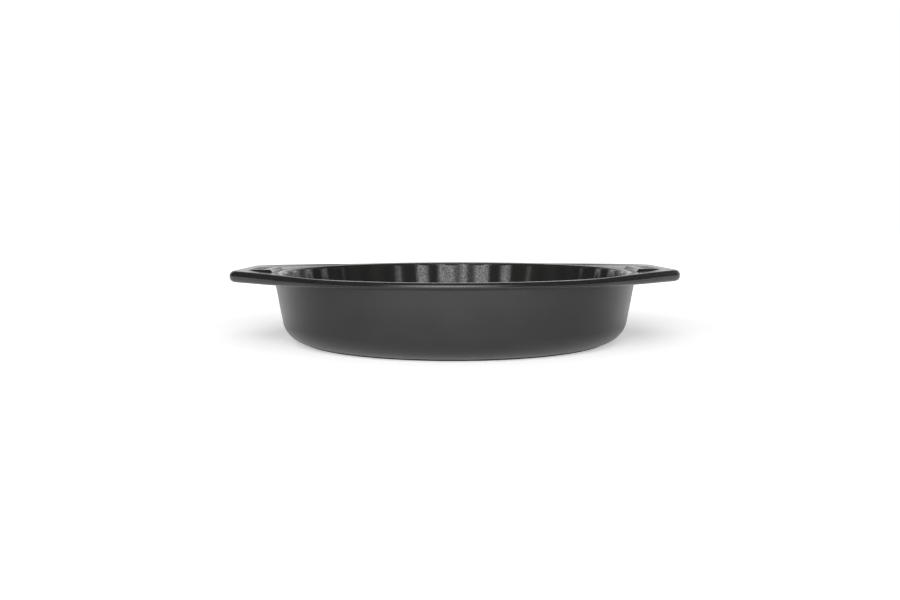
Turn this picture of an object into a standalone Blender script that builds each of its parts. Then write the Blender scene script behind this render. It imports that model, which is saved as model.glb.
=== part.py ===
"""Round baking dish in black glazed stoneware, fluted inside, with two tab handles.

The dish stands on z = 0 with its axis on the z axis, and its handles point along +x and -x.
Lengths are in metres. A section is a list of (r, z) points in an upright plane through the axis.
"""
import math

import bmesh
import bpy
from mathutils import Matrix, Vector

COLLECTION = "baking_dish"
GUIDES = "guides"

# Clearance between solids that are one fired piece on the real dish
SEAM = 0.0003

# Bowl
RIM_HEIGHT = 0.0568
DISH_RADIUS = 0.1506
WALL_DRAFT = math.radians(10.0)
WALL_THICKNESS = 0.0060
FLOOR_THICKNESS = 0.0060
HEEL_RADIUS = 0.0199
HEEL_SINK = 0.0009
LIP_WIDTH = 0.0030
LIP_DROP = 0.0014

# Flutes of the inner wall, with a ridge behind the middle of each handle
FLUTE_COUNT = 36
FLUTE_DEPTH = 0.0016
FLUTE_TOP_DROP = 0.0016
FLUTE_TOP_LENGTH = 0.0018

# Foot ring
FOOT_HEIGHT = 0.0012
FOOT_WIDTH = 0.0070
FOOT_INSET = 0.0019
FOOT_EDGE = 0.0004

# Rim, with an oval roll over its edge and a fillet under it
RIM_OVERHANG = 0.0075
RIM_THICKNESS = 0.0043
RIM_ROLL_WIDTH = 0.0055
RIM_ROLL_DROP = 0.0024
RIM_EDGE = 0.0017
UNDER_FILLET = 0.0030

# Handles
HANDLE_REACH = 0.0218
HANDLE_END_WIDTH = 0.0920
HANDLE_CORNER = 0.0136
HANDLE_THICKNESS = 0.0092
HANDLE_RISE = 0.0025
HANDLE_EDGE = 0.0041
TOP_BLEND = (math.radians(10.0), math.radians(60.5))
UNDER_BLEND = (math.radians(26.0), math.radians(80.0))

# Level pad that stands out of a handle's sloping top, and the grip ribs on it
PAD_MARGIN = 0.0055
PAD_BOWL_GAP = 0.0014
PAD_WIDTH = 0.0460
PAD_CORNER = 0.0060
PAD_PROUD = 0.0002
PAD_SINK = 0.0010
RIB_COUNT = 5
RIB_PITCH = 0.0080
RIB_WIDTH = 0.0030
RIB_HEIGHT = 0.0005
RIB_LENGTH = 0.0130

# Facets
ROUND_STEPS = 96
FLUTE_STEPS = 6
ARC_STEPS = 3
LIP_STEPS = 2
CORNER_STEPS = 4
HEEL_STEPS = 5
TOP_STEPS = 4
RIM_STEPS = 22
HANDLE_STEPS = 8
PAD_STEPS = 6
SHARP_ANGLE = math.radians(35.0)

# Glaze and clay colours, linear
BLACK_GLAZE = (0.020, 0.020, 0.021, 1.0)
BARE_CLAY = (0.150, 0.115, 0.090, 1.0)

RIM_RADIUS = DISH_RADIUS + RIM_OVERHANG
HANDLE_X = RIM_RADIUS + HANDLE_REACH
PAD_X = HANDLE_X - PAD_MARGIN
PAD_INSIDE_RADIUS = DISH_RADIUS + PAD_BOWL_GAP
PAD_TOP = RIM_HEIGHT + HANDLE_RISE + PAD_PROUD
FLOOR_TOP = FOOT_HEIGHT + FLOOR_THICKNESS

# The straight wall stands on the heel where the heel's curve ends, inside and outside
HEEL_LOW = FOOT_HEIGHT - HEEL_SINK
HEEL_TOP = HEEL_LOW + HEEL_RADIUS * (1.0 - math.sin(WALL_DRAFT))
CORNER_RADIUS = (HEEL_TOP - FLOOR_TOP) / (1.0 - math.sin(WALL_DRAFT))


def clear_scene():
    for obj in list(bpy.data.objects):
        bpy.data.objects.remove(obj, do_unlink=True)


def new_collection(name):
    collection = bpy.data.collections.new(name)
    bpy.context.scene.collection.children.link(collection)
    return collection


def make_material(name, color, roughness):
    material = bpy.data.materials.new(name)
    material.use_nodes = True
    shader = material.node_tree.nodes["Principled BSDF"]
    shader.inputs["Base Color"].default_value = color
    shader.inputs["Roughness"].default_value = roughness
    shader.inputs["Metallic"].default_value = 0.0
    return material


def smooth(mesh):
    mesh.shade_smooth()
    mesh.set_sharp_from_angle(angle=SHARP_ANGLE)


def add_object(name, mesh, material, collection):
    mesh.materials.clear()
    mesh.materials.append(material)
    obj = bpy.data.objects.new(name, mesh)
    collection.objects.link(obj)
    return obj


def oval(center, width, height, start, end, steps):
    """Points on an oval arc in a section, from one angle to another, both ends included."""
    points = []
    for i in range(steps + 1):
        angle = start + (end - start) * i / steps
        points.append((center[0] + width * math.cos(angle), center[1] + height * math.sin(angle)))
    return points


def arc(center, radius, start, end, steps):
    return oval(center, radius, radius, start, end, steps)


def blend(start, end, share):
    return start + (end - start) * share


def smoothstep(low, high, value):
    t = min(max((value - low) / (high - low), 0.0), 1.0)
    return t * t * (3.0 - 2.0 * t)


# The bowl's section

def outer_radius(z):
    """Radius of the straight part of the wall's outside at a height."""
    return DISH_RADIUS - (RIM_HEIGHT - z) * math.tan(WALL_DRAFT)


def inner_radius(z):
    """Radius of the wall's inside at a height, at the bottom of a flute."""
    return outer_radius(z) - WALL_THICKNESS


def corner_center(wall_radius, low, radius):
    """Centre of the arc that joins a drafted wall to a level line."""
    z = low + radius
    touch = z - radius * math.sin(WALL_DRAFT)
    return (wall_radius(touch) - radius * math.cos(WALL_DRAFT), z)


def heel_arc():
    """The rounded heel, from the straight wall down to the underside."""
    center = corner_center(outer_radius, HEEL_LOW, HEEL_RADIUS)
    end = math.asin((FOOT_HEIGHT - center[1]) / HEEL_RADIUS)
    return arc(center, HEEL_RADIUS, -WALL_DRAFT, end, HEEL_STEPS)


def inside_corner():
    """The rounded corner between the wall's inside and the floor, from the wall down."""
    center = corner_center(inner_radius, FLOOR_TOP, CORNER_RADIUS)
    return arc(center, CORNER_RADIUS, -WALL_DRAFT, -0.5 * math.pi, CORNER_STEPS)


def floor_radius():
    """The flat floor ends where the corner starts, less the seam."""
    return inside_corner()[-1][0] - SEAM


def foot_section():
    outside = heel_arc()[-1][0] - FOOT_INSET
    inside = outside - FOOT_WIDTH
    return [
        (outside, FOOT_HEIGHT),
        (outside, FOOT_EDGE),
        (outside - FOOT_EDGE, 0.0),
        (inside + FOOT_EDGE, 0.0),
        (inside, FOOT_EDGE),
        (inside, FOOT_HEIGHT),
    ]


def flute(theta):
    """1 on the ridge between two flutes, 0 at the bottom of a flute."""
    return 0.5 + 0.5 * math.cos(FLUTE_COUNT * theta)


def wall_section(theta):
    """The wall's closed section, from the lip down the flutes and up the plain outside."""
    lip = (inner_radius(RIM_HEIGHT) + LIP_WIDTH, RIM_HEIGHT - LIP_DROP)
    points = oval(lip, LIP_WIDTH, LIP_DROP, 0.5 * math.pi, math.pi, LIP_STEPS)
    height = FLUTE_DEPTH * flute(theta)
    ridge_top = RIM_HEIGHT - FLUTE_TOP_DROP
    for i in range(ARC_STEPS + 1):
        turn = 0.5 * math.pi * i / ARC_STEPS
        z = ridge_top - FLUTE_TOP_LENGTH * (1.0 - math.cos(turn))
        points.append((inner_radius(z) - height * math.sin(turn), z))
    points.append((inner_radius(HEEL_TOP) - height, HEEL_TOP))
    return points + [(outer_radius(HEEL_TOP), HEEL_TOP), (DISH_RADIUS, RIM_HEIGHT)]


def heel_section(theta):
    """The heel's closed section, from its flat seat down the inside, where the flutes run out."""
    height = FLUTE_DEPTH * flute(theta)
    points = []
    for i, (r, z) in enumerate(inside_corner()):
        points.append((r - height * (1.0 - i / CORNER_STEPS), z))
    points.append((points[-1][0], FOOT_HEIGHT))
    return points + heel_arc()[::-1]


# The flange's section: the rim, thickening into the handles

def handle_line_angle():
    """Direction of the normal of the handle's slanted side, which is tangent to the rim."""
    half_width = 0.5 * HANDLE_END_WIDTH
    corner_distance = math.hypot(HANDLE_X, half_width)
    return math.atan2(half_width, HANDLE_X) + math.acos(RIM_RADIUS / corner_distance)


def handle_corner_center():
    turn = handle_line_angle()
    x = HANDLE_X - HANDLE_CORNER
    y = (RIM_RADIUS - HANDLE_CORNER - x * math.cos(turn)) / math.sin(turn)
    return Vector((x, y))


def handle_corner_angles():
    """Polar angles at which the handle's rounded corner starts and ends."""
    center = handle_corner_center()
    turn = handle_line_angle()
    touch = center + HANDLE_CORNER * Vector((math.cos(turn), math.sin(turn)))
    return math.atan2(center.y, HANDLE_X), math.atan2(touch.y, touch.x)


def folded(theta):
    """Angle from the nearer handle's middle, between 0 and a quarter turn."""
    return abs(math.asin(math.sin(theta)))


def outline_radius(theta):
    """Distance from the axis to the flange's outer edge, seen from above."""
    angle = folded(theta)
    turn = handle_line_angle()
    corner_start, corner_end = handle_corner_angles()
    if angle >= turn:
        return RIM_RADIUS
    if angle >= corner_end:
        return RIM_RADIUS / math.cos(turn - angle)
    if angle <= corner_start:
        return HANDLE_X / math.cos(angle)
    center = handle_corner_center()
    along = center.dot(Vector((math.cos(angle), math.sin(angle))))
    return along + math.sqrt(along ** 2 - center.length_squared + HANDLE_CORNER ** 2)


def handle_share(theta, span):
    """1 where the flange has the handle's size, 0 where it has the rim's."""
    return 1.0 - smoothstep(span[0], span[1], folded(theta))


def flange_section(theta):
    """The flange's closed section, from its seam at the wall over the top and round the edge."""
    share = handle_share(theta, UNDER_BLEND)
    top = RIM_HEIGHT + HANDLE_RISE * handle_share(theta, TOP_BLEND)
    under = RIM_HEIGHT - blend(RIM_THICKNESS, HANDLE_THICKNESS - HANDLE_RISE, share)
    roll_width = blend(RIM_ROLL_WIDTH, HANDLE_EDGE, share)
    roll_drop = blend(RIM_ROLL_DROP, HANDLE_EDGE, share)
    edge = blend(RIM_EDGE, HANDLE_EDGE, share)
    outside = outline_radius(theta)
    inside = DISH_RADIUS + SEAM
    points = []
    for i in range(TOP_STEPS):
        t = i / TOP_STEPS
        rise = t * t * (2.0 - t)
        points.append((blend(inside, outside - roll_width, t), blend(RIM_HEIGHT, top, rise)))
    roll_center = (outside - roll_width, top - roll_drop)
    points += oval(roll_center, roll_width, roll_drop, 0.5 * math.pi, 0.0, ARC_STEPS)
    points += arc((outside - edge, under + edge), edge, 0.0, -0.5 * math.pi, ARC_STEPS)
    seam = outer_radius(under - UNDER_FILLET) + SEAM
    fillet_center = (seam + UNDER_FILLET, under - UNDER_FILLET)
    points += arc(fillet_center, UNDER_FILLET, 0.5 * math.pi, math.pi, ARC_STEPS)
    return points


# Meshes

def ring_mesh(name, section):
    """A closed section, for a Screw modifier to turn round the axis."""
    mesh = bpy.data.meshes.new(name)
    vertices = [(r, 0.0, z) for r, z in section]
    edges = [(i, (i + 1) % len(section)) for i in range(len(section))]
    mesh.from_pydata(vertices, edges, [])
    return mesh


def add_screw(obj):
    screw = obj.modifiers.new("turn", "SCREW")
    screw.axis = "Z"
    screw.angle = 2.0 * math.pi
    screw.steps = ROUND_STEPS
    screw.render_steps = ROUND_STEPS
    screw.use_merge_vertices = True
    screw.merge_threshold = 0.00001
    screw.use_smooth_shade = True


def loft_mesh(name, angles, section_at, closed):
    """A mesh through the sections at some angles round the axis, joined up or capped."""
    bm = bmesh.new()
    rings = []
    for theta in angles:
        across = Vector((math.cos(theta), math.sin(theta), 0.0))
        ring = [bm.verts.new(across * r + Vector((0.0, 0.0, z))) for r, z in section_at(theta)]
        rings.append(ring)
    spans = len(rings) if closed else len(rings) - 1
    for i in range(spans):
        here, there = rings[i], rings[(i + 1) % len(rings)]
        for j in range(len(here)):
            k = (j + 1) % len(here)
            bm.faces.new((here[j], here[k], there[k], there[j]))
    if not closed:
        bm.faces.new(rings[0])
        bm.faces.new(rings[-1])
    bmesh.ops.recalc_face_normals(bm, faces=bm.faces)
    if bm.calc_volume(signed=True) < 0.0:
        bmesh.ops.reverse_faces(bm, faces=bm.faces)
    mesh = bpy.data.meshes.new(name)
    bm.to_mesh(mesh)
    bm.free()
    smooth(mesh)
    return mesh


def disc_mesh(name, radius, low, high):
    bm = bmesh.new()
    place = Matrix.Translation((0.0, 0.0, 0.5 * (low + high)))
    bmesh.ops.create_cone(
        bm,
        cap_ends=True,
        segments=ROUND_STEPS,
        radius1=radius,
        radius2=radius,
        depth=high - low,
        matrix=place,
    )
    mesh = bpy.data.meshes.new(name)
    bm.to_mesh(mesh)
    bm.free()
    smooth(mesh)
    return mesh


def spread(start, end, steps):
    return [blend(start, end, i / steps) for i in range(steps + 1)]


def wall_angles():
    count = FLUTE_COUNT * FLUTE_STEPS
    return [2.0 * math.pi * i / count for i in range(count)]


def handle_angles():
    """Angles from one side of a handle to the other, closer together round its corners."""
    corner_start, corner_end = handle_corner_angles()
    turn = handle_line_angle()
    half = spread(0.0, corner_start, HANDLE_STEPS // 2)
    half += spread(corner_start, corner_end, HANDLE_STEPS // 2)[1:]
    half += spread(corner_end, turn, HANDLE_STEPS)[1:]
    return [-angle for angle in half[:0:-1]] + half


def rim_angles():
    """Angles of the rim between the handles, which it meets across the seam."""
    start = handle_line_angle() + SEAM / RIM_RADIUS
    return spread(start, math.pi - start, RIM_STEPS)


# The pad on a handle

def pad_outline():
    """The pad seen from above: straight end and sides, and an arc beside the bowl."""
    quarter = 0.5 * math.pi
    x = PAD_X - PAD_CORNER
    y = 0.5 * PAD_WIDTH - PAD_CORNER
    end = math.asin(0.5 * PAD_WIDTH / PAD_INSIDE_RADIUS)
    points = arc((x, -y), PAD_CORNER, -quarter, 0.0, ARC_STEPS)
    points += arc((x, y), PAD_CORNER, 0.0, quarter, ARC_STEPS)
    return points + arc((0.0, 0.0), PAD_INSIDE_RADIUS, end, -end, PAD_STEPS)


def add_guide(name, bm, collection):
    """A solid that only serves a boolean."""
    bmesh.ops.recalc_face_normals(bm, faces=bm.faces)
    mesh = bpy.data.meshes.new(name)
    bm.to_mesh(mesh)
    bm.free()
    guide = bpy.data.objects.new(name, mesh)
    guide.display_type = "WIRE"
    guide.hide_render = True
    collection.objects.link(guide)
    return guide


def grip_pad(collection):
    """A prism with the pad's outline, sunk a little in the handle."""
    low = RIM_HEIGHT - PAD_SINK
    bm = bmesh.new()
    face = bm.faces.new([bm.verts.new((x, y, low)) for x, y in pad_outline()])
    lifted = bmesh.ops.extrude_face_region(bm, geom=[face])["geom"]
    top = [item for item in lifted if isinstance(item, bmesh.types.BMVert)]
    bmesh.ops.translate(bm, verts=top, vec=(0.0, 0.0, PAD_TOP - low))
    return add_guide("grip_pad", bm, collection)


def grip_ribs(collection):
    """Plain bars half sunk in the pad's top, all in one guide."""
    x = 0.5 * (PAD_X + PAD_INSIDE_RADIUS)
    bm = bmesh.new()
    for i in range(RIB_COUNT):
        y = (i - 0.5 * (RIB_COUNT - 1)) * RIB_PITCH
        place = Matrix.Translation((x, y, PAD_TOP))
        size = Matrix.Diagonal((RIB_LENGTH, RIB_WIDTH, 2.0 * RIB_HEIGHT, 1.0))
        bmesh.ops.create_cube(bm, size=1.0, matrix=place @ size)
    return add_guide("grip_ribs", bm, collection)


def add_union(obj, other):
    boolean = obj.modifiers.new(other.name, "BOOLEAN")
    boolean.operation = "UNION"
    boolean.solver = "EXACT"
    boolean.object = other


# The pieces

def build_foot_ring(material, collection):
    mesh = ring_mesh("foot_ring", foot_section())
    add_screw(add_object("foot_ring", mesh, material, collection))


def build_dish_floor(material, collection):
    mesh = disc_mesh("dish_floor", floor_radius(), FOOT_HEIGHT, FLOOR_TOP)
    add_object("dish_floor", mesh, material, collection)


def build_wall(material, collection):
    heel = loft_mesh("heel", wall_angles(), heel_section, closed=True)
    add_object("heel", heel, material, collection)
    wall = loft_mesh("fluted_wall", wall_angles(), wall_section, closed=True)
    add_object("fluted_wall", wall, material, collection)


def build_rims(material, collection):
    mesh = loft_mesh("rim", rim_angles(), flange_section, closed=False)
    back = add_object("back_rim", mesh, material, collection)
    front = add_object("front_rim", mesh, material, collection)
    back.rotation_euler.z = 0.0
    front.rotation_euler.z = math.pi


def build_handles(material, collection, guides):
    mesh = loft_mesh("handle", handle_angles(), flange_section, closed=False)
    right = add_object("right_handle", mesh, material, collection)
    add_union(right, grip_pad(guides))
    add_union(right, grip_ribs(guides))
    bpy.context.view_layer.update()
    graph = bpy.context.evaluated_depsgraph_get()
    finished = bpy.data.meshes.new_from_object(right.evaluated_get(graph))
    finished.name = "handle_finished"
    smooth(finished)
    right.modifiers.clear()
    right.data = finished
    left = add_object("left_handle", finished, material, collection)
    left.rotation_euler.z = math.pi


def main():
    clear_scene()
    dish = new_collection(COLLECTION)
    guides = new_collection(GUIDES)
    clay = make_material("bare_clay", BARE_CLAY, 0.85)
    build_foot_ring(clay, dish)
    build_dish_floor(make_material("floor_glaze", BLACK_GLAZE, 0.22), dish)
    build_wall(make_material("wall_glaze", BLACK_GLAZE, 0.25), dish)
    build_rims(make_material("rim_glaze", BLACK_GLAZE, 0.20), dish)
    build_handles(make_material("handle_glaze", BLACK_GLAZE, 0.20), dish, guides)


main()
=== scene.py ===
"""Round baking dish in black glazed stoneware, fluted inside, with two tab handles.

Lengths are in metres. The dish stands on z = 0, its handles point along x, and a section is a
list of (r, z) points in an upright plane through its axis.
"""
import math

import bmesh
import bpy
from mathutils import Matrix, Vector


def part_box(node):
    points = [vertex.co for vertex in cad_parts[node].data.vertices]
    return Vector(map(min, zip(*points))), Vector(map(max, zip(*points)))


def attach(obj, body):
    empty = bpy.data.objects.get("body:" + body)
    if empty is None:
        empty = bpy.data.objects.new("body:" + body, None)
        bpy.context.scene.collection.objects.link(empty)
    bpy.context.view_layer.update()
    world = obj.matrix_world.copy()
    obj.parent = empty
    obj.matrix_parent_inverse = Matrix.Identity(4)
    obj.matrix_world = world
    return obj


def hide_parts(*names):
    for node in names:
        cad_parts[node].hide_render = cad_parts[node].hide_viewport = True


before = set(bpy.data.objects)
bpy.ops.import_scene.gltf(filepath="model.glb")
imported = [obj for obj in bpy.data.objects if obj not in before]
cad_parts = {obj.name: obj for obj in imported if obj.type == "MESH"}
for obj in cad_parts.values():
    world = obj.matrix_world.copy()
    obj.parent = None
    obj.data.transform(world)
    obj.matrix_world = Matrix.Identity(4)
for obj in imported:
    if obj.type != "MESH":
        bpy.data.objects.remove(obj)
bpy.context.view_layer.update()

# Foot ring
# The dish stands on a low clay ring that is part of its underside. Its sides are glazed, and its
# lower face is ground flat after firing, so the bare stoneware body shows there.

TURNS = 960
SHARP = math.radians(32.0)
foot_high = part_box("foot_ring")[1]
FOOT_RADIUS = foot_high.x
FOOT_HEIGHT = foot_high.z
FOOT_WIDTH = 0.0070
FOOT_ROUND = 0.00045
FOOT_ROUND_STEPS = 6
PEEL_SCALE = 750.0
DEEP_GLAZE = (0.0155, 0.0155, 0.0160, 1.0)
PALER_GLAZE = (0.0195, 0.0195, 0.0198, 1.0)
# A lighter, warmer colour, painted in for faint ambient light on the inside.
PAINTED_AMBIENT_GLAZE = (0.040, 0.037, 0.034, 1.0)
CRYSTAL_LEVEL = 0.60
CLAY = (0.160, 0.122, 0.094, 1.0)
CLAY_SPECK = (0.045, 0.033, 0.026, 1.0)
CLAY_ROUGHNESS = 0.88
CLAY_TOP = 0.00045
GLAZE_LOW = 0.00060
GLAZE_LINE_WAVE = 0.0005


def oval(center, width, height, start, end, steps):
    """Points on an oval arc in a section, both ends included."""
    turns = [start + (end - start) * i / steps for i in range(steps + 1)]
    return [(center[0] + width * math.cos(a), center[1] + height * math.sin(a)) for a in turns]


def arc(center, radius, start, end, steps):
    """Points on a round arc in a section, both ends included."""
    return oval(center, radius, radius, start, end, steps)


def plain_mesh(name, bm):
    """A finished mesh, smooth but for its real edges."""
    bmesh.ops.recalc_face_normals(bm, faces=bm.faces)
    mesh = bpy.data.meshes.new(name)
    bm.to_mesh(mesh)
    bm.free()
    mesh.shade_smooth()
    mesh.set_sharp_from_angle(angle=SHARP)
    return mesh


def turned_piece(name, section, marks=None):
    """A section turned about the axis. It is a closed ring, or a disc where it meets the axis.

    marks gives a number for each point of the section under the name of an attribute. One of
    them is "inside", and the faces between points that have it take the second material.
    """
    bm = bmesh.new()
    layers = {key: bm.verts.layers.float.new(key) for key in marks or {}}
    on_axis = section[0][0] == 0.0
    columns = []
    for i in range(TURNS):
        across = Vector((math.cos(math.tau * i / TURNS), math.sin(math.tau * i / TURNS), 0.0))
        column = []
        for j, (r, z) in enumerate(section):
            if r == 0.0 and columns:
                column.append(columns[0][j])
                continue
            vert = bm.verts.new(across * r + Vector((0.0, 0.0, z)))
            for key, layer in layers.items():
                vert[layer] = marks[key][j]
            column.append(vert)
        columns.append(column)
    rows = len(section) - 1 if on_axis else len(section)
    for i in range(TURNS):
        here, there = columns[i], columns[(i + 1) % TURNS]
        for j in range(rows):
            k = (j + 1) % len(section)
            corners = [here[j], here[k], there[k], there[j]]
            face = bm.faces.new(list(dict.fromkeys(corners)))
            if marks and marks["inside"][j] and marks["inside"][k]:
                face.material_index = 1
    obj = bpy.data.objects.new(name, plain_mesh(name, bm))
    bpy.context.scene.collection.objects.link(obj)
    return obj


def foot_section():
    """A flat ring with both of its lower edges rounded."""
    inside = FOOT_RADIUS - FOOT_WIDTH
    outer = (FOOT_RADIUS - FOOT_ROUND, FOOT_ROUND)
    inner = (inside + FOOT_ROUND, FOOT_ROUND)
    quarter = 0.5 * math.pi
    points = [(inside, FOOT_HEIGHT), (FOOT_RADIUS, FOOT_HEIGHT)]
    points += arc(outer, FOOT_ROUND, 0.0, -quarter, FOOT_ROUND_STEPS)
    points += arc(inner, FOOT_ROUND, -quarter, -2.0 * quarter, FOOT_ROUND_STEPS)
    return points


def link_nodes(tree, *pairs):
    """Links every pair's first socket to its second one."""
    for source, target in pairs:
        tree.links.new(source, target)


def math_node(tree, operation, number=None):
    """A node that does one sum. A number goes into its second socket."""
    node = tree.nodes.new("ShaderNodeMath")
    node.operation = operation
    if number is not None:
        node.inputs[1].default_value = number
    return node


def ramp_node(tree, start, end, at_start=0.0, at_end=1.0):
    """A node whose result runs evenly from at_start, at the value start, to at_end at end."""
    node = tree.nodes.new("ShaderNodeMapRange")
    node.inputs["From Min"].default_value = start
    node.inputs["From Max"].default_value = end
    node.inputs["To Min"].default_value = at_start
    node.inputs["To Max"].default_value = at_end
    return node


def make_glaze_group():
    """What a melted glaze does all over: faint orange peel, soft mottling and fine crystals.

    Painted ambient says how far the colour is lightened towards a warm clay-like tint, painted in
    for faint ambient light, and Crystal contrast how much the crystals differ from each other.
    """
    group = bpy.data.node_groups.new("glaze_skin", "ShaderNodeTree")
    face = group.interface
    for name in ("Peel scale", "Peel height", "Roughness", "Roughness spread", "Painted ambient"):
        face.new_socket(name, in_out="INPUT", socket_type="NodeSocketFloat")
    face.new_socket("Crystal contrast", in_out="INPUT", socket_type="NodeSocketFloat")
    face.new_socket("Color", in_out="OUTPUT", socket_type="NodeSocketColor")
    face.new_socket("Roughness", in_out="OUTPUT", socket_type="NodeSocketFloat")
    face.new_socket("Normal", in_out="OUTPUT", socket_type="NodeSocketVector")
    face.new_socket("Crystals", in_out="OUTPUT", socket_type="NodeSocketFloat")
    new = group.nodes.new
    start = new("NodeGroupInput")
    end = new("NodeGroupOutput")
    place = new("ShaderNodeTexCoord")
    peel = new("ShaderNodeTexNoise")
    peel.inputs["Detail"].default_value = 2.0
    peel.inputs["Roughness"].default_value = 0.45
    bump = new("ShaderNodeBump")
    bump.inputs["Strength"].default_value = 1.0
    drift = new("ShaderNodeTexNoise")
    drift.inputs["Scale"].default_value = 45.0
    drift.inputs["Detail"].default_value = 3.0
    shift = math_node(group, "SUBTRACT", 0.5)
    spread = math_node(group, "MULTIPLY_ADD")
    tone = ramp_node(group, 0.3, 0.7)
    deep = new("ShaderNodeMix")
    deep.data_type = "RGBA"
    deep.inputs[6].default_value = DEEP_GLAZE
    deep.inputs[7].default_value = PALER_GLAZE
    # Mixed towards a lighter, warmer colour, painted in for faint ambient light.
    painted_ambient_mix = new("ShaderNodeMix")
    painted_ambient_mix.data_type = "RGBA"
    painted_ambient_mix.inputs[7].default_value = PAINTED_AMBIENT_GLAZE
    crystals = new("ShaderNodeTexNoise")
    crystals.inputs["Scale"].default_value = 900.0
    crystals.inputs["Detail"].default_value = 1.0
    centered = math_node(group, "SUBTRACT", 0.5)
    level = math_node(group, "MULTIPLY_ADD")
    level.inputs[2].default_value = CRYSTAL_LEVEL
    level.use_clamp = True
    link_nodes(
        group,
        (place.outputs["Object"], peel.inputs["Vector"]),
        (place.outputs["Object"], drift.inputs["Vector"]),
        (start.outputs["Peel scale"], peel.inputs["Scale"]),
        (start.outputs["Peel height"], bump.inputs["Distance"]),
        (peel.outputs["Fac"], bump.inputs["Height"]),
        (drift.outputs["Fac"], shift.inputs[0]),
        (shift.outputs[0], spread.inputs[0]),
        (start.outputs["Roughness spread"], spread.inputs[1]),
        (start.outputs["Roughness"], spread.inputs[2]),
        (drift.outputs["Fac"], tone.inputs["Value"]),
        (tone.outputs["Result"], deep.inputs[0]),
        (start.outputs["Painted ambient"], painted_ambient_mix.inputs[0]),
        (deep.outputs[2], painted_ambient_mix.inputs[6]),
        (painted_ambient_mix.outputs[2], end.inputs["Color"]),
        (spread.outputs[0], end.inputs["Roughness"]),
        (bump.outputs["Normal"], end.inputs["Normal"]),
        (place.outputs["Object"], crystals.inputs["Vector"]),
        (crystals.outputs["Fac"], centered.inputs[0]),
        (centered.outputs[0], level.inputs[0]),
        (start.outputs["Crystal contrast"], level.inputs[1]),
        (level.outputs[0], end.inputs["Crystals"]),
    )
    return group


GLAZE = make_glaze_group()


def new_material(name):
    """A material with its node tree and its main shader."""
    material = bpy.data.materials.new(name)
    material.use_nodes = True
    return material, material.node_tree, material.node_tree.nodes["Principled BSDF"]


def add_glaze(tree, peel_height, roughness, spread):
    """The shared glaze effect, with one finish's own values."""
    skin = tree.nodes.new("ShaderNodeGroup")
    skin.node_tree = GLAZE
    skin.inputs["Peel scale"].default_value = PEEL_SCALE
    skin.inputs["Peel height"].default_value = peel_height
    skin.inputs["Roughness"].default_value = roughness
    skin.inputs["Roughness spread"].default_value = spread
    skin.inputs["Painted ambient"].default_value = 0.0
    skin.inputs["Crystal contrast"].default_value = 0.0
    return skin


def foot_material():
    """Matt glaze that ends in a wavy line near the ground face, and bare specked clay below."""
    material, tree, shader = new_material("foot_clay_and_glaze")
    skin = add_glaze(tree, peel_height=0.00002, roughness=0.80, spread=0.06)
    shader.inputs["Specular IOR Level"].default_value = 0.20
    new = tree.nodes.new
    place = new("ShaderNodeTexCoord")
    split = new("ShaderNodeSeparateXYZ")
    wobble = new("ShaderNodeTexNoise")
    wobble.inputs["Scale"].default_value = 160.0
    height = math_node(tree, "MULTIPLY_ADD", GLAZE_LINE_WAVE)
    bare = ramp_node(tree, GLAZE_LOW, CLAY_TOP)
    specks = new("ShaderNodeTexNoise")
    specks.inputs["Scale"].default_value = 900.0
    specks.inputs["Detail"].default_value = 4.0
    clay = new("ShaderNodeValToRGB")
    clay.color_ramp.elements[0].position = 0.36
    clay.color_ramp.elements[0].color = CLAY_SPECK
    clay.color_ramp.elements[1].position = 0.46
    clay.color_ramp.elements[1].color = CLAY
    color = new("ShaderNodeMix")
    color.data_type = "RGBA"
    rough = new("ShaderNodeMix")
    rough.inputs[3].default_value = CLAY_ROUGHNESS
    link_nodes(
        tree,
        (place.outputs["Object"], split.inputs[0]),
        (place.outputs["Object"], wobble.inputs["Vector"]),
        (place.outputs["Object"], specks.inputs["Vector"]),
        (wobble.outputs["Fac"], height.inputs[0]),
        (split.outputs["Z"], height.inputs[2]),
        (height.outputs[0], bare.inputs["Value"]),
        (specks.outputs["Fac"], clay.inputs["Fac"]),
        (bare.outputs["Result"], color.inputs[0]),
        (skin.outputs["Color"], color.inputs[6]),
        (clay.outputs["Color"], color.inputs[7]),
        (bare.outputs["Result"], rough.inputs[0]),
        (skin.outputs["Roughness"], rough.inputs[2]),
        (color.outputs[2], shader.inputs["Base Color"]),
        (rough.outputs[0], shader.inputs["Roughness"]),
        (skin.outputs["Normal"], shader.inputs["Normal"]),
    )
    return material


foot = turned_piece("foot_ring_finish", foot_section())
foot.data.materials.append(foot_material())
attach(foot, "root")
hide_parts("foot_ring")

# Floor
# The flat disc that the dish's bottom is pressed as, 6 mm thick, one body with the wall round it.
# It is glazed on both faces: glossy inside, satin underneath, where it stands clear of the table.

wall_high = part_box("fluted_wall")[1]
FLOOR_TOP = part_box("dish_floor")[1].z
RIM_HEIGHT = wall_high.z
DISH_RADIUS = wall_high.x
WALL_DRAFT = math.radians(10.0)
WALL_THICKNESS = 0.0060
HEEL_RADIUS = 0.0199
HEEL_LOW = 0.0003
HEEL_TOP = HEEL_LOW + HEEL_RADIUS * (1.0 - math.sin(WALL_DRAFT))
CORNER_RADIUS = (HEEL_TOP - FLOOR_TOP) / (1.0 - math.sin(WALL_DRAFT))
FLOOR_RINGS = 24


def outer_radius(z):
    """Radius of the wall's plain outside at a height."""
    return DISH_RADIUS - (RIM_HEIGHT - z) * math.tan(WALL_DRAFT)


def inner_radius(z):
    """Radius of the wall's inside at a height, at the bottom of a flute."""
    return outer_radius(z) - WALL_THICKNESS


def corner_center(wall_radius, low, radius):
    """Centre of the arc that joins the drafted wall to a level line."""
    z = low + radius
    return (wall_radius(z - radius * math.sin(WALL_DRAFT)) - radius * math.cos(WALL_DRAFT), z)


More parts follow.
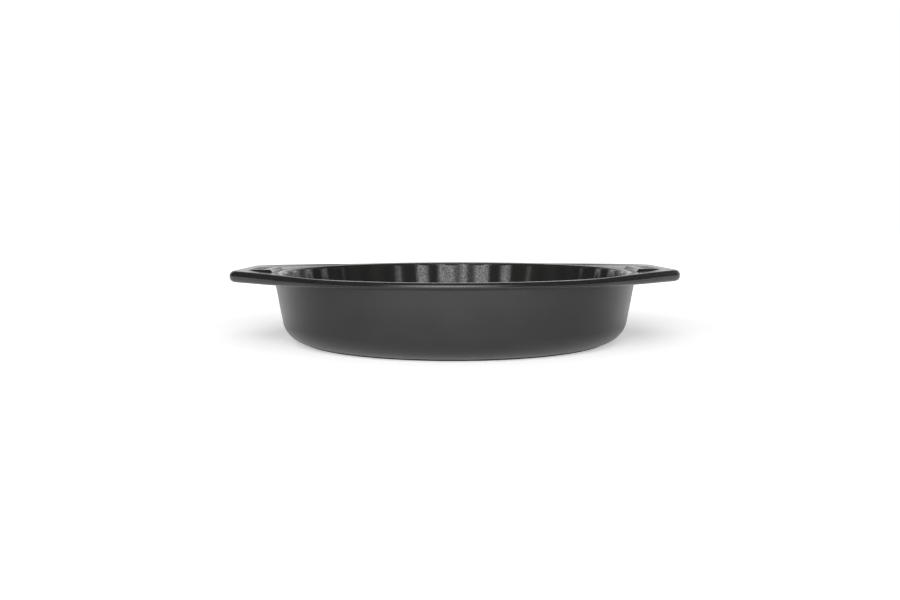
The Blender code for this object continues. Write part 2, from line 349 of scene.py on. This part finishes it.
HEEL_CENTER = corner_center(outer_radius, HEEL_LOW, HEEL_RADIUS)
CORNER_CENTER = corner_center(inner_radius, FLOOR_TOP, CORNER_RADIUS)
HEEL_END = math.asin((FOOT_HEIGHT - HEEL_CENTER[1]) / HEEL_RADIUS)


def floor_section():
    """A flat disc that reaches to where the rounded corner begins."""
    edge = CORNER_CENTER[0]
    top = [(edge * i / FLOOR_RINGS, FLOOR_TOP) for i in range(FLOOR_RINGS + 1)]
    return top + [(r, FOOT_HEIGHT) for r, z in top[::-1]]


def plain_glaze(name, peel_height, roughness, spread):
    """Black glaze of one finish, as it comes out of the kiln."""
    material, tree, shader = new_material(name)
    skin = add_glaze(tree, peel_height, roughness, spread)
    link_nodes(
        tree,
        (skin.outputs["Color"], shader.inputs["Base Color"]),
        (skin.outputs["Roughness"], shader.inputs["Roughness"]),
        (skin.outputs["Normal"], shader.inputs["Normal"]),
    )
    return material


def inside_glaze():
    """Glossy black glaze with fine crystals, its colour lightened as painted faint ambient light.
    """
    material, tree, shader = new_material("inside_glaze")
    shader.inputs["Specular IOR Level"].default_value = 0.10
    shader.inputs["Coat Roughness"].default_value = 0.16
    skin = add_glaze(tree, peel_height=0.00018, roughness=0.16, spread=0.10)
    # The inside's colour is lightened towards a warm tint, painted in for faint ambient light in
    # the flutes.
    skin.inputs["Painted ambient"].default_value = 0.30
    skin.inputs["Crystal contrast"].default_value = 3.4
    link_nodes(
        tree,
        (skin.outputs["Color"], shader.inputs["Base Color"]),
        (skin.outputs["Roughness"], shader.inputs["Roughness"]),
        (skin.outputs["Crystals"], shader.inputs["Coat Weight"]),
        (skin.outputs["Normal"], shader.inputs["Normal"]),
    )
    return material


OUTSIDE_GLAZE = plain_glaze("outside_glaze", peel_height=0.00002, roughness=0.34, spread=0.10)
INSIDE_GLAZE = inside_glaze()
floor_points = floor_section()
floor_marks = {"inside": [1.0 if z == FLOOR_TOP else 0.0 for r, z in floor_points]}
floor = turned_piece("floor_finish", floor_points, floor_marks)
floor.data.materials.append(OUTSIDE_GLAZE)
floor.data.materials.append(INSIDE_GLAZE)
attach(floor, "root")
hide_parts("dish_floor")

# Fluted wall and heel
# The raised side of the bowl with its rounded heel, pressed over a fluted former: plain and satin
# outside, 36 shallow flutes with soft ridges and a glossier glaze inside, a rounded lip on top.

FLUTE_COUNT = 36
FLUTE_DEPTH = 0.0016
FLUTE_TOP_DROP = 0.0016
FLUTE_TOP_LENGTH = 0.0018
LIP_WIDTH = 0.0022
LIP_DROP = 0.0011
LAND_WIDTH = 0.0047
LAND_SLOPE = math.tan(math.radians(2.5))
LIP_STEPS = 12
FLUTE_TOP_STEPS = 16
WALL_STEPS = 8
CORNER_STEPS = 20
HEEL_STEPS = 36


def ease(t):
    """Runs from 0 to 1 as t does, and is level at both ends."""
    return t * t * (3.0 - 2.0 * t)


def land_height(r):
    """Height of the rim's flat top, which dips a little towards the bowl."""
    return RIM_HEIGHT - LAND_SLOPE * (DISH_RADIUS + LAND_WIDTH - r)


def wall_profile():
    """Rows of (r, z, ridge height, inside).

    They go over the lip, down the inside to the floor, and up again outside, round the heel.
    """
    rows = []
    lip_radius = inner_radius(RIM_HEIGHT) + LIP_WIDTH
    lip = (lip_radius, land_height(lip_radius) - LIP_DROP)
    for r, z in oval(lip, LIP_WIDTH, LIP_DROP, 0.5 * math.pi, math.pi, LIP_STEPS):
        rows.append((r, z, 0.0, 1.0))
    for i in range(FLUTE_TOP_STEPS + 1):
        turn = 0.5 * math.pi * i / FLUTE_TOP_STEPS
        z = RIM_HEIGHT - FLUTE_TOP_DROP - FLUTE_TOP_LENGTH * (1.0 - math.cos(turn))
        rows.append((inner_radius(z), z, math.sin(turn), 1.0))
    low = CORNER_CENTER[1] - CORNER_RADIUS * math.sin(WALL_DRAFT)
    high = rows[-1][1]
    for i in range(1, WALL_STEPS):
        z = high + (low - high) * i / WALL_STEPS
        rows.append((inner_radius(z), z, 1.0, 1.0))
    corner = arc(CORNER_CENTER, CORNER_RADIUS, -WALL_DRAFT, -0.5 * math.pi, CORNER_STEPS)
    for i, (r, z) in enumerate(corner):
        rows.append((r, z, 1.0 - ease(i / CORNER_STEPS), 1.0))
    rows.append((CORNER_CENTER[0], FOOT_HEIGHT, 0.0, 0.0))
    for r, z in arc(HEEL_CENTER, HEEL_RADIUS, HEEL_END, -WALL_DRAFT, HEEL_STEPS):
        rows.append((r, z, 0.0, 0.0))
    start = rows[-1][1]
    for i in range(1, WALL_STEPS + 1):
        z = start + (land_height(DISH_RADIUS) - start) * i / WALL_STEPS
        rows.append((outer_radius(z), z, 0.0, 0.0))
    return rows


def flute_nodes():
    """A tree that pushes the ridges between the flutes in from the wall's plain inside.

    It then gives the wall its satin glaze, and the inside the glossier one.
    """
    tree = bpy.data.node_groups.new("press_flutes", "GeometryNodeTree")
    face = tree.interface
    face.new_socket("Geometry", in_out="INPUT", socket_type="NodeSocketGeometry")
    face.new_socket("Flute count", in_out="INPUT", socket_type="NodeSocketFloat")
    face.new_socket("Flute depth", in_out="INPUT", socket_type="NodeSocketFloat")
    face.new_socket("Geometry", in_out="OUTPUT", socket_type="NodeSocketGeometry")
    new = tree.nodes.new
    start = new("NodeGroupInput")
    end = new("NodeGroupOutput")
    place = new("GeometryNodeInputPosition")
    split = new("ShaderNodeSeparateXYZ")
    turn = math_node(tree, "ARCTAN2")
    phase = math_node(tree, "MULTIPLY")
    wave = math_node(tree, "COSINE")
    level = math_node(tree, "MULTIPLY_ADD", 0.5)
    level.inputs[2].default_value = 0.5
    ridge = new("GeometryNodeInputNamedAttribute")
    ridge.data_type = "FLOAT"
    ridge.inputs["Name"].default_value = "ridge"
    masked = math_node(tree, "MULTIPLY")
    push = math_node(tree, "MULTIPLY")
    flat = new("ShaderNodeCombineXYZ")
    inward = new("ShaderNodeVectorMath")
    inward.operation = "NORMALIZE"
    offset = new("ShaderNodeVectorMath")
    offset.operation = "SCALE"
    move = new("GeometryNodeSetPosition")
    negate = math_node(tree, "MULTIPLY", -1.0)
    realize = new("GeometryNodeRealizeInstances")
    outside = new("GeometryNodeSetMaterial")
    outside.inputs["Material"].default_value = OUTSIDE_GLAZE
    glossy = new("GeometryNodeInputNamedAttribute")
    glossy.data_type = "FLOAT"
    glossy.inputs["Name"].default_value = "inside"
    chosen = math_node(tree, "GREATER_THAN", 0.9)
    inside = new("GeometryNodeSetMaterial")
    inside.inputs["Material"].default_value = INSIDE_GLAZE
    link_nodes(
        tree,
        (place.outputs[0], split.inputs[0]),
        (split.outputs["Y"], turn.inputs[0]),
        (split.outputs["X"], turn.inputs[1]),
        (turn.outputs[0], phase.inputs[0]),
        (start.outputs["Flute count"], phase.inputs[1]),
        (phase.outputs[0], wave.inputs[0]),
        (wave.outputs[0], level.inputs[0]),
        (level.outputs[0], masked.inputs[0]),
        (ridge.outputs["Attribute"], masked.inputs[1]),
        (masked.outputs[0], push.inputs[0]),
        (start.outputs["Flute depth"], push.inputs[1]),
        (push.outputs[0], negate.inputs[0]),
        (split.outputs["X"], flat.inputs["X"]),
        (split.outputs["Y"], flat.inputs["Y"]),
        (flat.outputs[0], inward.inputs[0]),
        (inward.outputs[0], offset.inputs[0]),
        (negate.outputs[0], offset.inputs["Scale"]),
        (start.outputs["Geometry"], move.inputs["Geometry"]),
        (offset.outputs[0], move.inputs["Offset"]),
        (move.outputs[0], realize.inputs[0]),
        (realize.outputs[0], outside.inputs["Geometry"]),
        (glossy.outputs["Attribute"], chosen.inputs[0]),
        (chosen.outputs[0], inside.inputs["Selection"]),
        (outside.outputs[0], inside.inputs["Geometry"]),
        (inside.outputs[0], end.inputs["Geometry"]),
    )
    return tree


def set_input(modifier, name, value):
    """Sets a tree's named input on its modifier, by the socket's identifier."""
    for item in modifier.node_group.interface.items_tree:
        if item.item_type == "SOCKET" and item.in_out == "INPUT" and item.name == name:
            modifier[item.identifier] = value


def baked(obj):
    """The object's evaluated mesh as a plain mesh, in its place and without modifiers."""
    graph = bpy.context.evaluated_depsgraph_get()
    mesh = bpy.data.meshes.new_from_object(obj.evaluated_get(graph))
    obj.modifiers.clear()
    obj.data = mesh
    mesh.shade_smooth()
    mesh.set_sharp_from_angle(angle=SHARP)


def fluted_wall():
    """The turned wall with its heel, its flutes pressed in and baked into the mesh."""
    rows = wall_profile()
    marks = {"ridge": [row[2] for row in rows], "inside": [row[3] for row in rows]}
    wall = turned_piece("fluted_wall_finish", [row[:2] for row in rows], marks)
    flutes = wall.modifiers.new("flutes", "NODES")
    flutes.node_group = flute_nodes()
    set_input(flutes, "Flute count", float(FLUTE_COUNT))
    set_input(flutes, "Flute depth", FLUTE_DEPTH)
    baked(wall)
    return wall


wall = fluted_wall()
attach(wall, "root")
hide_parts("fluted_wall", "heel")

# Front and back rim
# The flange that overhangs the wall between the handles, pressed with it: a flat top, a rolled
# edge and a small fillet underneath. It thickens and rises steadily towards the handles.

RIM_RADIUS = -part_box("front_rim")[0].y
HANDLE_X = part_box("right_handle")[1].x
HANDLE_RISE = 0.0025
RIM_THICKNESS = 0.0041
RIM_ROLL_WIDTH = 0.0028
RIM_ROLL_DROP = 0.0028
RIM_EDGE = 0.0013
UNDER_FILLET = 0.0018
HANDLE_END_WIDTH = 0.0920
HANDLE_CORNER = 0.0136
HANDLE_THICKNESS = 0.0092
HANDLE_EDGE = 0.0041
TOP_BLEND = (math.radians(10.0), math.radians(60.5))
UNDER_BLEND = (math.radians(26.0), math.radians(80.0))
ROLL_STEPS = 20
EDGE_STEPS = 14
UNDER_STEPS = 6
FILLET_STEPS = 20
RIM_TOP_STEPS = 16
RIM_STEPS = 240

# Seen from above, a handle has a straight end and a round corner, and a straight side that
# touches the rim's circle. These are the places where one of them ends and the next begins.
half_width = 0.5 * HANDLE_END_WIDTH
SIDE_TURN = math.atan2(half_width, HANDLE_X) + math.acos(
    RIM_RADIUS / math.hypot(HANDLE_X, half_width)
)
corner_x = HANDLE_X - HANDLE_CORNER
corner_y = (RIM_RADIUS - HANDLE_CORNER - corner_x * math.cos(SIDE_TURN)) / math.sin(SIDE_TURN)
CORNER = Vector((corner_x, corner_y))
CORNER_START = math.atan2(corner_y, HANDLE_X)
touch = CORNER + HANDLE_CORNER * Vector((math.cos(SIDE_TURN), math.sin(SIDE_TURN)))
CORNER_END = math.atan2(touch.y, touch.x)


def folded(theta):
    """Angle from the nearer handle's middle, between 0 and a quarter turn."""
    return abs(math.asin(math.sin(theta)))


def outline_radius(theta):
    """Distance from the axis to the flange's outer edge, seen from above."""
    angle = folded(theta)
    if angle >= SIDE_TURN:
        return RIM_RADIUS
    if angle >= CORNER_END:
        return RIM_RADIUS / math.cos(SIDE_TURN - angle)
    if angle <= CORNER_START:
        return HANDLE_X / math.cos(angle)
    along = CORNER.dot(Vector((math.cos(angle), math.sin(angle))))
    return along + math.sqrt(along ** 2 - CORNER.length_squared + HANDLE_CORNER ** 2)


def blend(start, end, share):
    """The value that lies at a share of the way from start to end."""
    return start + (end - start) * share


def handle_share(theta, span):
    """1 where the flange has the handle's size, 0 where it has the rim's."""
    t = (folded(theta) - span[0]) / (span[1] - span[0])
    return 1.0 - ease(min(max(t, 0.0), 1.0))


def flange_section(theta, top_steps):
    """The flange's section at an angle, from the land over the top and round to the fillet."""
    share = handle_share(theta, UNDER_BLEND)
    top = RIM_HEIGHT + HANDLE_RISE * handle_share(theta, TOP_BLEND)
    under = RIM_HEIGHT - blend(RIM_THICKNESS, HANDLE_THICKNESS - HANDLE_RISE, share)
    roll_width = blend(RIM_ROLL_WIDTH, HANDLE_EDGE, share)
    roll_drop = blend(RIM_ROLL_DROP, HANDLE_EDGE, share)
    edge = blend(RIM_EDGE, HANDLE_EDGE, share)
    outside = outline_radius(theta)
    points = []
    for i in range(top_steps):
        t = i / top_steps
        rise = (top - RIM_HEIGHT) * t * t * (2.0 - t)
        land = blend(land_height(DISH_RADIUS), RIM_HEIGHT, t)
        points.append((blend(DISH_RADIUS, outside - roll_width, t), land + rise))
    roll_center = (outside - roll_width, top - roll_drop)
    points += oval(roll_center, roll_width, roll_drop, 0.5 * math.pi, 0.0, ROLL_STEPS)
    points += arc((outside - edge, under + edge), edge, 0.0, -0.5 * math.pi, EDGE_STEPS)
    low = under - UNDER_FILLET
    fillet_center = (outer_radius(low) + UNDER_FILLET / math.cos(WALL_DRAFT), low)
    turn = math.pi - WALL_DRAFT
    fillet = arc(fillet_center, UNDER_FILLET, 0.5 * math.pi, turn, FILLET_STEPS)
    start = points[-1]
    for i in range(1, UNDER_STEPS):
        t = i / UNDER_STEPS
        points.append((start[0] + (fillet[0][0] - start[0]) * t, under))
    return points + fillet


def flange_piece(name, angles, top_steps, relief=None):
    """A stretch of the flange lofted through its sections and capped at both ends.

    relief gives the height of a point on the top from its plain height.
    """
    bm = bmesh.new()
    rings = []
    for theta in angles:
        ring = []
        for i, (r, z) in enumerate(flange_section(theta, top_steps)):
            x, y = r * math.cos(theta), r * math.sin(theta)
            if relief and i <= top_steps:
                z = relief(x, y, z)
            ring.append(bm.verts.new((x, y, z)))
        rings.append(ring)
    for here, there in zip(rings, rings[1:]):
        for j in range(len(here)):
            k = (j + 1) % len(here)
            bm.faces.new((here[j], here[k], there[k], there[j]))
    bm.faces.new(rings[0])
    bm.faces.new(rings[-1])
    obj = bpy.data.objects.new(name, plain_mesh(name, bm))
    bpy.context.scene.collection.objects.link(obj)
    return obj


def spread_angles(start, end, steps):
    """Evenly spread angles, both ends included."""
    return [start + (end - start) * i / steps for i in range(steps + 1)]


RIM_FINISH = plain_glaze("rim_glaze", peel_height=0.00003, roughness=0.18, spread=0.08)
reach = 0.5 * math.pi - SIDE_TURN
for side, middle in (("front", -0.5 * math.pi), ("back", 0.5 * math.pi)):
    angles = spread_angles(middle - reach, middle + reach, RIM_STEPS)
    rim = flange_piece(side + "_rim_finish", angles, RIM_TOP_STEPS)
    rim.data.materials.append(RIM_FINISH)
    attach(rim, "root")
    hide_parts(side + "_rim")

# Handles
# Two tabs that the rim widens and thickens into, pressed with it. A level pad with five plain
# ribs stands out of each handle's sloping top for the thumb, softened by the glaze.

PAD_MARGIN = 0.0055
PAD_WIDTH = 0.0460
PAD_CORNER = 0.0060
PAD_INSIDE_RADIUS = 0.1520
PAD_DROP = 0.0005
PAD_FLANK = 0.0028
PAD_SIDE_START = math.radians(6.6)
PAD_SIDE_END = math.radians(9.6)
PAD_STEPS = 55
PAD_SIDE_STEPS = 85
HANDLE_SIDE_STEPS = 60
HANDLE_TOP_STEPS = 80
RIB_COUNT = 5
RIB_PITCH = 0.0080
RIB_WIDTH = 0.0030
RIB_FLANK = 0.4 * RIB_WIDTH
RIB_HEIGHT = 0.00022
RIB_LENGTH = 0.0130
PAD_X = HANDLE_X - PAD_MARGIN
PAD_TOP = RIM_HEIGHT + HANDLE_RISE - PAD_DROP


def pad_depth_at(x, y):
    """How far inside the pad's rounded outline a point is, negative outside."""
    past_x = max(abs(x) - PAD_X + PAD_CORNER, 0.0)
    past_y = max(abs(y) - 0.5 * PAD_WIDTH + PAD_CORNER, 0.0)
    return min(math.hypot(x, y) - PAD_INSIDE_RADIUS, PAD_CORNER - math.hypot(past_x, past_y))


def rib_height_at(x, y):
    """Height of the plain ribs over the pad."""
    row = round(y / RIB_PITCH)
    if abs(row) > RIB_COUNT // 2:
        return 0.0
    middle = 0.5 * (PAD_X + PAD_INSIDE_RADIUS)
    along = max(abs(abs(x) - middle) - 0.5 * (RIB_LENGTH - RIB_WIDTH), 0.0)
    away = math.hypot(along, y - row * RIB_PITCH)
    return RIB_HEIGHT * ease(min(max((0.5 * RIB_WIDTH - away) / RIB_FLANK, 0.0), 1.0))


def grip_height(x, y, z):
    """Height of the handle's top with its pad and ribs."""
    share = ease(min(max(pad_depth_at(x, y) / PAD_FLANK + 0.5, 0.0), 1.0))
    return z + (max(PAD_TOP, z) + rib_height_at(x, y) - z) * share


def handle_angles(middle):
    """Angles across a handle, closest together along the pad's sides."""
    half = spread_angles(0.0, PAD_SIDE_START, PAD_STEPS)
    half += spread_angles(PAD_SIDE_START, PAD_SIDE_END, PAD_SIDE_STEPS)[1:]
    half += spread_angles(PAD_SIDE_END, SIDE_TURN, HANDLE_SIDE_STEPS)[1:]
    return [middle - a for a in half[:0:-1]] + [middle + a for a in half]


HANDLE_FINISH = plain_glaze("handle_glaze", peel_height=0.00003, roughness=0.18, spread=0.08)
for side, middle in (("right", 0.0), ("left", math.pi)):
    angles = handle_angles(middle)
    handle = flange_piece(side + "_handle_finish", angles, HANDLE_TOP_STEPS, grip_height)
    handle.data.materials.append(HANDLE_FINISH)
    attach(handle, "root")
    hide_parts(side + "_handle")

# Studio
# A pale paper floor that runs back to a white backdrop, a broad soft box in front of the dish and
# above the camera, and a soft fill from overhead. The camera stands where the photograph's did.

STUDIO_TURN = Matrix.Rotation(math.radians(-0.75), 3, "Z")
FLOOR_REACH = 6.0
SHADOW_REACH = 0.25
WHITE_REACH = 0.55
LAMP_AIM = Vector((0.0, 0.0, 0.04))
FRONT_BOX_SIDE = -0.12
FRONT_BOX_HEIGHT = 0.82
FILL_HEIGHT = 2.20
FILL_SIZE = (2.20, 2.20)
FILL_POWER = 10.5
BACKDROP_LIGHT = 0.85
ROOM_LIGHT = 0.05


def floor_material():
    """Pale paper that keeps the dish's shadow and goes to plain white further out.

    What the glaze mirrors of it is a painted glow, set by place and seen only in reflections,
    that stands in for the lit table of a studio. In front it is dim in the dish's shadow and
    bright past it, and dimmer to both sides. Behind it is lit more evenly, and just round the
    dish's foot it is painted a little brighter.
    """
    material, tree, shader = new_material("pale_paper")
    shader.inputs["Base Color"].default_value = (0.86, 0.86, 0.86, 1.0)
    shader.inputs["Roughness"].default_value = 0.9
    shader.inputs["Specular IOR Level"].default_value = 0.0
    shader.inputs["Emission Color"].default_value = (1.0, 1.0, 1.0, 1.0)
    new = tree.nodes.new
    path = new("ShaderNodeLightPath")
    place = new("ShaderNodeTexCoord")
    away = new("ShaderNodeVectorMath")
    away.operation = "LENGTH"
    lift = ramp_node(tree, SHADOW_REACH, WHITE_REACH, at_start=0.45)
    camera_lift = math_node(tree, "MULTIPLY")
    # The wedge in front: ahead is full where x is small beside the distance from the dish, and
    # further grows with that distance. The part behind depends on y, close on the distance.
    split = new("ShaderNodeSeparateXYZ")
    aside = math_node(tree, "ABSOLUTE")
    bearing = math_node(tree, "DIVIDE")
    ahead = ramp_node(tree, 0.90, 0.40, at_start=0.18)
    further = ramp_node(tree, 0.212, 0.290, at_start=0.22, at_end=1.25)
    further.interpolation_type = "SMOOTHSTEP"
    wedge = math_node(tree, "MULTIPLY")
    behind = ramp_node(tree, -0.10, 0.08, at_end=0.60)
    brighter = math_node(tree, "MAXIMUM")
    close = ramp_node(tree, 0.130, 0.165, at_start=0.28, at_end=0.0)
    # The painted glow is the brighter of the wedge and the part behind, with the close part
    # added; only glossy rays see it.
    painted_glow = math_node(tree, "ADD")
    painted_glow_in_glaze = math_node(tree, "MULTIPLY")
    total = math_node(tree, "ADD")
    link_nodes(
        tree,
        (place.outputs["Object"], away.inputs[0]),
        (away.outputs["Value"], lift.inputs["Value"]),
        (path.outputs["Is Camera Ray"], camera_lift.inputs[0]),
        (lift.outputs["Result"], camera_lift.inputs[1]),
        (place.outputs["Object"], split.inputs[0]),
        (split.outputs["X"], aside.inputs[0]),
        (aside.outputs[0], bearing.inputs[0]),
        (away.outputs["Value"], bearing.inputs[1]),
        (bearing.outputs[0], ahead.inputs["Value"]),
        (away.outputs["Value"], further.inputs["Value"]),
        (ahead.outputs["Result"], wedge.inputs[0]),
        (further.outputs["Result"], wedge.inputs[1]),
        (split.outputs["Y"], behind.inputs["Value"]),
        (wedge.outputs[0], brighter.inputs[0]),
        (behind.outputs["Result"], brighter.inputs[1]),
        (away.outputs["Value"], close.inputs["Value"]),
        (brighter.outputs[0], painted_glow.inputs[0]),
        (close.outputs["Result"], painted_glow.inputs[1]),
        (path.outputs["Is Glossy Ray"], painted_glow_in_glaze.inputs[0]),
        (painted_glow.outputs[0], painted_glow_in_glaze.inputs[1]),
        (camera_lift.outputs[0], total.inputs[0]),
        (painted_glow_in_glaze.outputs[0], total.inputs[1]),
        (total.outputs[0], shader.inputs["Emission Strength"]),
    )
    return material


def paper_floor():
    low, high = -FLOOR_REACH, FLOOR_REACH
    mesh = bpy.data.meshes.new("paper_floor")
    corners = [(low, low, 0.0), (high, low, 0.0), (high, high, 0.0), (low, high, 0.0)]
    mesh.from_pydata(corners, [], [(0, 1, 2, 3)])
    mesh.materials.append(floor_material())
    obj = bpy.data.objects.new("paper_floor", mesh)
    bpy.context.scene.collection.objects.link(obj)
    return obj


paper_floor()


def soft_lamp(name, place, size, power, reflected):
    """A rectangular soft box that faces the dish, seen in its glaze or not."""
    data = bpy.data.lights.new(name, "AREA")
    data.shape = "RECTANGLE"
    data.size, data.size_y = size
    data.energy = power
    lamp = bpy.data.objects.new(name, data)
    lamp.location = STUDIO_TURN @ Vector(place)
    aim = LAMP_AIM - lamp.location
    lamp.rotation_euler = aim.to_track_quat("-Z", "Y").to_euler()
    lamp.visible_glossy = reflected
    bpy.context.scene.collection.objects.link(lamp)


# The front box is four panels behind one another, so its light falls off softly at the sides.
for part, away, size, brightness in (
    ("core", 1.46, (0.56, 1.15), 3.7),
    ("inner", 1.48, (1.04, 1.30), 4.8),
    ("outer", 1.50, (1.56, 1.45), 5.2),
    ("edge", 1.52, (2.20, 1.60), 3.6),
):
    place = (FRONT_BOX_SIDE, -away, FRONT_BOX_HEIGHT)
    power = brightness * size[0] * size[1]
    soft_lamp("front_box_" + part, place, size, power, reflected=True)
soft_lamp("overhead_fill", (0.0, 0.0, FILL_HEIGHT), FILL_SIZE, FILL_POWER, reflected=False)


def make_world():
    """White for the camera and for what mirrors the backdrop, and a dim room elsewhere."""
    world = bpy.data.worlds.new("studio")
    world.use_nodes = True
    tree = world.node_tree
    back = tree.nodes["Background"]
    back.inputs["Color"].default_value = (1.0, 1.0, 1.0, 1.0)
    new = tree.nodes.new
    path = new("ShaderNodeLightPath")
    place = new("ShaderNodeTexCoord")
    split = new("ShaderNodeSeparateXYZ")
    right = math_node(tree, "MAXIMUM", 0.0)
    round_right = math_node(tree, "MULTIPLY_ADD", 0.25)
    behind = ramp_node(tree, 0.50, 0.75)
    low = ramp_node(tree, 0.50, 0.30)
    backdrop = math_node(tree, "MULTIPLY")
    room = math_node(tree, "MULTIPLY_ADD", BACKDROP_LIGHT)
    room.inputs[2].default_value = ROOM_LIGHT
    seen = math_node(tree, "MAXIMUM")
    # The backdrop stands behind the dish, reaches a little further round on the right, and ends
    # where the view rises.
    link_nodes(
        tree,
        (place.outputs["Generated"], split.inputs[0]),
        (split.outputs["X"], right.inputs[0]),
        (right.outputs[0], round_right.inputs[0]),
        (split.outputs["Y"], round_right.inputs[2]),
        (round_right.outputs[0], behind.inputs["Value"]),
        (split.outputs["Z"], low.inputs["Value"]),
        (behind.outputs["Result"], backdrop.inputs[0]),
        (low.outputs["Result"], backdrop.inputs[1]),
        (backdrop.outputs[0], room.inputs[0]),
        (room.outputs[0], seen.inputs[0]),
        (path.outputs["Is Camera Ray"], seen.inputs[1]),
        (seen.outputs[0], back.inputs["Strength"]),
    )
    return world


bpy.context.scene.world = make_world()
bpy.context.scene.view_settings.view_transform = "Standard"

CAMERA_DISTANCE = 0.7008
CAMERA_HEIGHT = 0.0951
CAMERA_SIDE = -0.0039
CAMERA_PITCH = math.radians(5.19)
CAMERA_ROLL = math.radians(-0.10)
CAMERA_LENS = 33.07

camera_data = bpy.data.cameras.new("camera")
camera_data.lens = CAMERA_LENS
camera = bpy.data.objects.new("camera", camera_data)
camera.location = STUDIO_TURN @ Vector((CAMERA_SIDE, -CAMERA_DISTANCE, CAMERA_HEIGHT))
look = Matrix.Rotation(0.5 * math.pi - CAMERA_PITCH, 3, "X")
roll = Matrix.Rotation(CAMERA_ROLL, 3, "Z")
camera.rotation_euler = (STUDIO_TURN @ look @ roll).to_euler()
bpy.context.scene.collection.objects.link(camera)
bpy.context.scene.camera = camera
